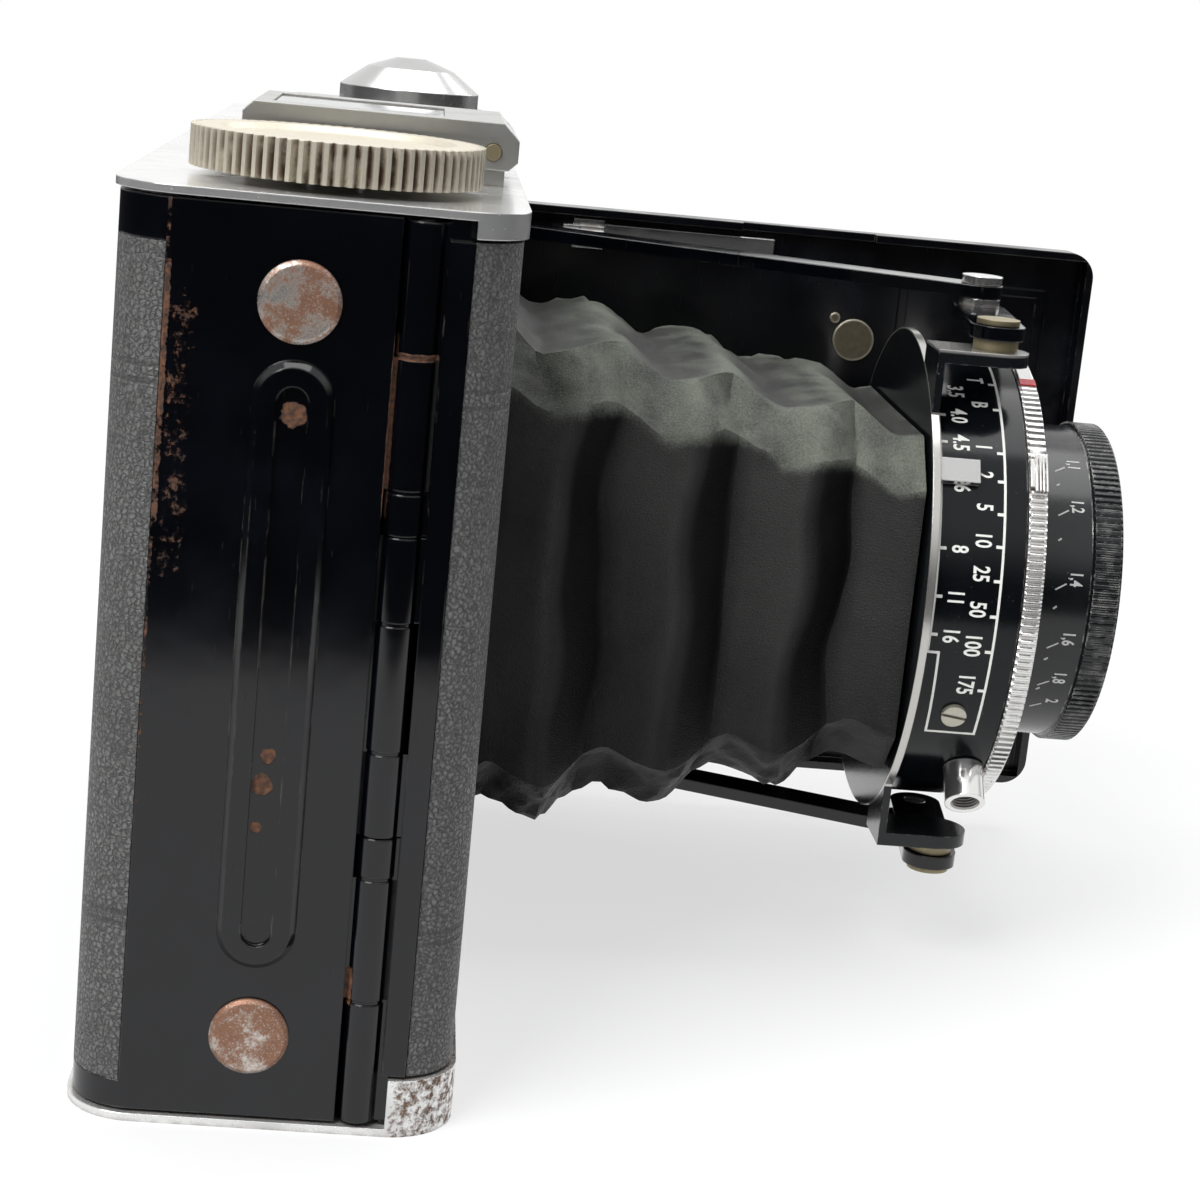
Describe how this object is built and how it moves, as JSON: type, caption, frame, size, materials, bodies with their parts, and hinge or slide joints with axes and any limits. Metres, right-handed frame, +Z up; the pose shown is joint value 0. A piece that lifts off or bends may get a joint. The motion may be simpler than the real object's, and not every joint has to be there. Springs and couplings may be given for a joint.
{
  "type": "folding roll-film camera",
  "caption": "Small folding bellows camera standing upright with its bed open, lens run out on struts, top finder folded flat and hinged back door.",
  "frame": {"origin": "mouth of the tripod socket in the middle of the base", "axes": "+Z up, -Y towards the subject along the lens axis, X along the body with the back door's hinge at -X and the bed's hinge at +X"},
  "size_m": [0.1353, 0.1075, 0.0889],
  "materials": {
    "enamel": "gloss black enamel, rubbed and rusted at the edges",
    "inner_black": "dull black inside the film chamber",
    "leatherette": "black grained leatherette with pressed border lines",
    "chrome_trim": "pitted chrome",
    "nickel": "dull yellowish nickel",
    "steel_pins": "plain steel",
    "brass_parts": "dull brass",
    "bellows_cloth": "black leathered cloth worn grey-green at the folds",
    "shutter_black": "black enamel with white figures",
    "lens_glass": "clear lens glass",
    "red_glass": "dark red window",
    "spool_metal": "black spool"
  },
  "bodies": {
    "body": {"front_shell": "enamel", "film_chamber": "inner_black", "film_gate": "inner_black", "spool_webs": "inner_black", "top_plate": "chrome_trim", "bottom_plate": "chrome_trim", "tripod_bush": "nickel", "door_hinge_pin": "steel_pins", "bed_hinge_pin": "steel_pins", "leather_front_near": "leatherette", "leather_front_far": "leatherette", "spool_pins": "steel_pins", "strut_pins": "steel_pins", "bellows": "bellows_cloth", "top_housing": "chrome_trim", "finder_base": "chrome_trim", "finder_pins": "steel_pins"},
    "door": {"back_door": "enamel", "leather_back": "leatherette", "door_rivets": "enamel", "pressure_plate": "inner_black", "pressure_springs": "steel_pins", "red_window": "red_glass", "window_frame": "chrome_trim"},
    "cover": {"window_cover": "chrome_trim"},
    "latch": {"door_latch": "nickel"},
    "bed": {"bed_plate": "enamel", "bed_leather": "leatherette", "bed_rivets": "brass_parts", "bed_brace": "chrome_trim"},
    "struts": {"struts": "enamel"},
    "links": {"links": "enamel", "knee_rivets": "chrome_trim"},
    "standard": {"lens_board": "enamel", "ear_pins": "brass_parts", "shutter_case": "shutter_black", "cable_socket": "chrome_trim", "case_screws": "nickel", "rear_cell": "shutter_black", "rear_lens": "lens_glass"},
    "speeds": {"speed_ring": "chrome_trim"},
    "pointer": {"aperture_pointer": "nickel"},
    "focus": {"focus_ring": "chrome_trim", "front_lens": "lens_glass"},
    "cocking": {"cocking_lever": "chrome_trim"},
    "release": {"release_lever": "chrome_trim"},
    "winder": {"wind_wheel": "nickel", "wind_key": "steel_pins", "take_up_spool": "spool_metal"},
    "counter": {"counter_knob": "chrome_trim"},
    "finder": {"finder_frame": "chrome_trim", "finder_lens": "lens_glass"},
    "sight": {"finder_sight": "chrome_trim"}
  },
  "joints": [
    {"name": "bed_hinge", "type": "hinge", "parent": "body", "child": "bed", "pos_m": [0.0351, -0.016, 0.04], "axis": [0, 0, -1], "range_deg": [0, 90], "deforming": ["bellows"]},
    {"name": "strut_pivot", "type": "hinge", "parent": "body", "child": "struts", "pos_m": [0.0304, -0.01105, 0.04], "axis": [0, 0, -1], "range_deg": [0, 76.5]},
    {"name": "knee_pivot", "type": "hinge", "parent": "struts", "child": "links", "pos_m": [0.00388, -0.06905, 0.04], "axis": [0, 0, -1], "range_deg": [0, 99]},
    {"name": "ear_pivot", "type": "hinge", "parent": "links", "child": "standard", "pos_m": [-0.01378, -0.06742, 0.04], "axis": [0, 0, -1], "range_deg": [-175.5, 0]},
    {"name": "door_hinge", "type": "hinge", "parent": "body", "child": "door", "pos_m": [-0.0653, -0.00845, 0.04], "axis": [0, 0, 1], "range_deg": [0, 95]},
    {"name": "latch_slide", "type": "slide", "parent": "door", "child": "latch", "axis": [0, 0, -1], "range_m": [0, 0.0025], "stiffness_N_per_m": 200, "springref_m": -0.001},
    {"name": "cover_slide", "type": "slide", "parent": "door", "child": "cover", "axis": [1, 0, 0], "range_m": [0, 0.011]},
    {"name": "speed_turn", "type": "hinge", "parent": "standard", "child": "speeds", "pos_m": [0, -0.06, 0.04], "axis": [0, -1, 0], "range_deg": [-60, 75]},
    {"name": "aperture_turn", "type": "hinge", "parent": "standard", "child": "pointer", "pos_m": [0, -0.06, 0.04], "axis": [0, -1, 0], "range_deg": [-38, 25]},
    {"name": "focus_turn", "type": "hinge", "parent": "standard", "child": "focus", "pos_m": [0, -0.06, 0.04], "axis": [0, -1, 0], "range_deg": [-40, 260]},
    {"name": "cocking_turn", "type": "hinge", "parent": "standard", "child": "cocking", "pos_m": [0, -0.06, 0.04], "axis": [0, -1, 0], "range_deg": [0, 35], "stiffness_Nm_per_rad": 0.02, "springref_deg": -20.05},
    {"name": "release_turn", "type": "hinge", "parent": "standard", "child": "release", "pos_m": [0, -0.06, 0.04], "axis": [0, -1, 0], "range_deg": [0, 10], "stiffness_Nm_per_rad": 0.02, "springref_deg": -20.05},
    {"name": "wind_turn", "type": "hinge", "parent": "body", "child": "winder", "pos_m": [-0.05205, -0.0005, 0.04], "axis": [0, 0, 1], "continuous": true},
    {"name": "counter_turn", "type": "hinge", "parent": "body", "child": "counter", "pos_m": [0.0215, -0.00545, 0.085], "axis": [0, 0, 1], "continuous": true},
    {"name": "finder_hinge", "type": "hinge", "parent": "body", "child": "finder", "pos_m": [-0.0275, -0.0139, 0.0831], "axis": [1, 0, 0], "range_deg": [0, 90]},
    {"name": "sight_hinge", "type": "hinge", "parent": "body", "child": "sight", "pos_m": [-0.0275, 0.007, 0.0824], "axis": [-1, 0, 0], "range_deg": [0, 90]}
  ],
  "couplings": [
    {"joint": "strut_pivot", "follows": "bed_hinge", "ratio": 0.85},
    {"joint": "knee_pivot", "follows": "bed_hinge", "ratio": 1.1},
    {"joint": "ear_pivot", "follows": "bed_hinge", "ratio": -1.95},
    {"joint": "sight_hinge", "follows": "finder_hinge", "ratio": 1}
  ]
}
